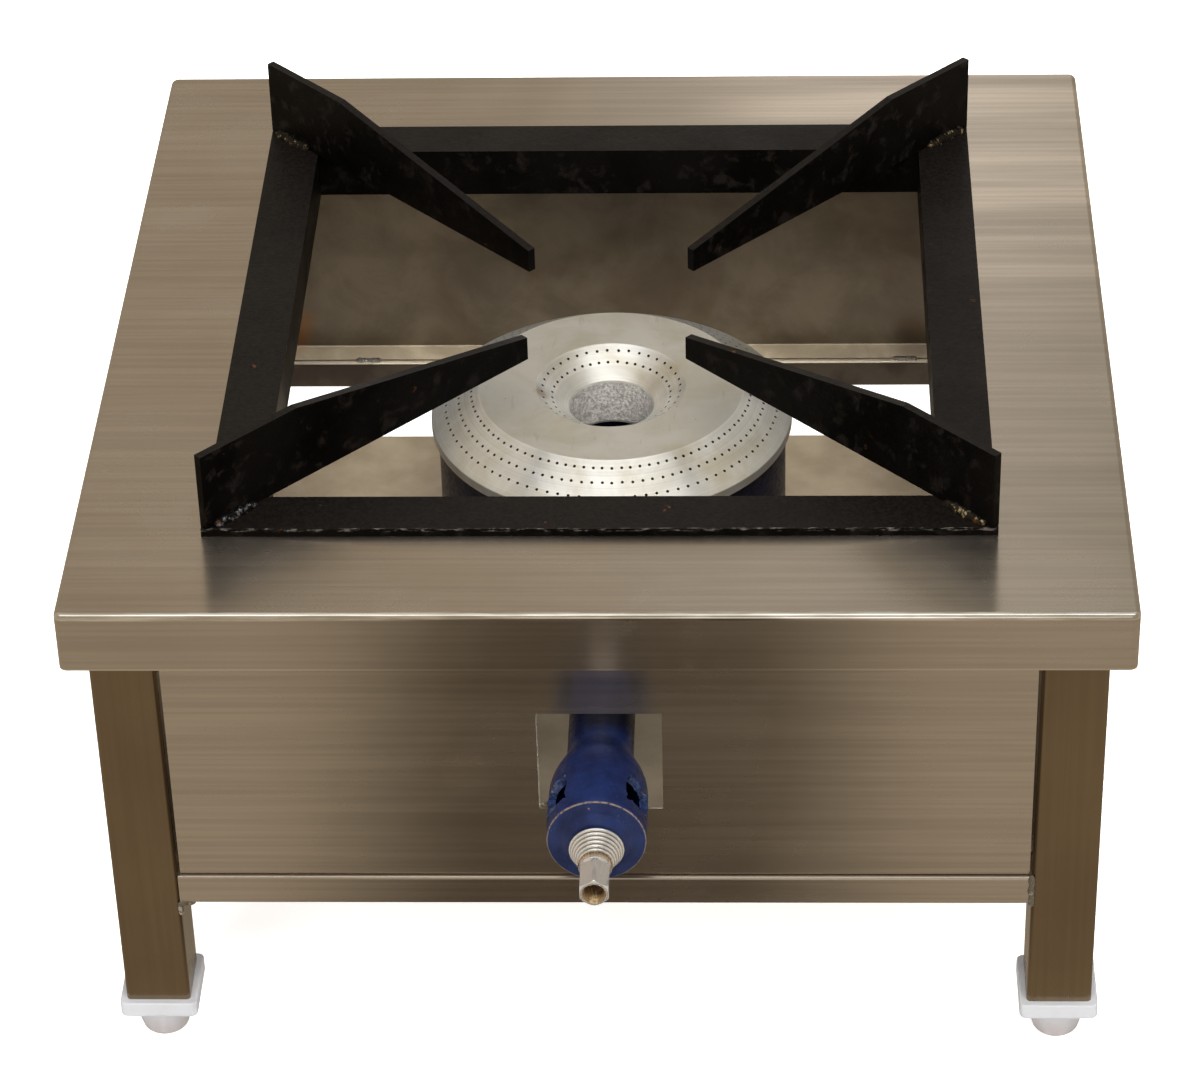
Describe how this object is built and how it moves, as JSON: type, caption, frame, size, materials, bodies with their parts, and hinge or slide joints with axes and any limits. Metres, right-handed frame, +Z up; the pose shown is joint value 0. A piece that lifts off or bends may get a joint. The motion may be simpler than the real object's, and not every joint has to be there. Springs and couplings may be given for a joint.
{
  "type": "single gas burner stand",
  "caption": "Square steel gas burner stand with a cast burner, turned burner ring, front air bell with gas jet, and a lift-off pan support with sloping arms.",
  "frame": {"origin": "centre of the overall box, on the floor; the stand's own centre is 49 mm behind it because the gas jet reaches out in front", "axes": "+X to the user's right, +Y away from the user, +Z up"},
  "size_m": [0.6, 0.698, 0.383],
  "materials": {
    "brushed_steel": "brushed stainless sheet and tube",
    "black_steel": "thin black paint over mill scale, worn",
    "cast_aluminium": "turned face, rough cast bore",
    "blue_casting": "gloss navy enamel over cast iron",
    "bright_plating": "bright plated steel",
    "brass": "machined",
    "zinc_fastener": "zinc plated",
    "white_plastic": "natural white moulded plastic"
  },
  "bodies": {
    "stand": {"top_plate": "brushed_steel", "leg_front_left": "brushed_steel", "leg_front_right": "brushed_steel", "leg_back_left": "brushed_steel", "leg_back_right": "brushed_steel", "lower_rail_front": "brushed_steel", "lower_rail_back": "brushed_steel", "lower_rail_left": "brushed_steel", "lower_rail_right": "brushed_steel", "upper_rail_front": "brushed_steel", "upper_rail_back": "brushed_steel", "upper_rail_left": "brushed_steel", "upper_rail_right": "brushed_steel", "front_panel": "brushed_steel", "back_panel": "brushed_steel", "left_panel": "brushed_steel", "right_panel": "brushed_steel", "burner_shelf": "brushed_steel", "burner_body": "blue_casting", "mixing_tube": "blue_casting", "burner_bolts": "zinc_fastener", "jet_spring": "bright_plating", "foot_front_left": "white_plastic", "foot_front_right": "white_plastic", "foot_back_left": "white_plastic", "foot_back_right": "white_plastic"},
    "pan_support": {"support_bar_front": "black_steel", "support_bar_back": "black_steel", "support_bar_left": "black_steel", "support_bar_right": "black_steel", "support_arm_front_left": "black_steel", "support_arm_front_right": "black_steel", "support_arm_back_left": "black_steel", "support_arm_back_right": "black_steel"},
    "burner_cap": {"burner_ring": "cast_aluminium"},
    "gas_jet": {"jet_holder": "bright_plating", "jet_nozzle": "brass", "jet_washer": "brass"}
  },
  "joints": [
    {"name": "pan_support_lift", "type": "slide", "parent": "stand", "child": "pan_support", "axis": [0, 0, 1], "range_m": [0, 0.08]},
    {"name": "burner_ring_lift", "type": "slide", "parent": "stand", "child": "burner_cap", "axis": [0, 0, 1], "range_m": [0, 0.04]},
    {"name": "gas_jet_turn", "type": "hinge", "parent": "stand", "child": "gas_jet", "pos_m": [0, -0.311, 0.212], "axis": [0, -1, 0], "range_deg": [-180, 180]}
  ]
}
